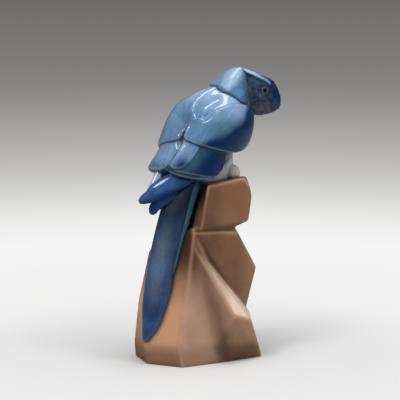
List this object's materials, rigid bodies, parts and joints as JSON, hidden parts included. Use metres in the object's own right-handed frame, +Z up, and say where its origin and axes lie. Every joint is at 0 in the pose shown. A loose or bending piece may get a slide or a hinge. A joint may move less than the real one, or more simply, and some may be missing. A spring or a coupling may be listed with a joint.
{
  "type": "parrot figurine",
  "caption": "Glazed ceramic parrot seen perched on a tall faceted rock, head turned to its right, layered wing plates and a long tail lying down the rock.",
  "frame": {"origin": "middle of the flat foot, on the surface that the figurine stands on", "axes": "+Z up; +X to the right as the bird's back is seen, the way its head looks; +Y away from the viewer of its back"},
  "size_m": [0.1598, 0.091, 0.3179],
  "materials": {
    "glazed_ceramic": "glossy glaze, blue on the bird and brown on the rock"
  },
  "bodies": {
    "root": {"parrot_figurine": "glazed_ceramic"}
  },
  "joints": []
}
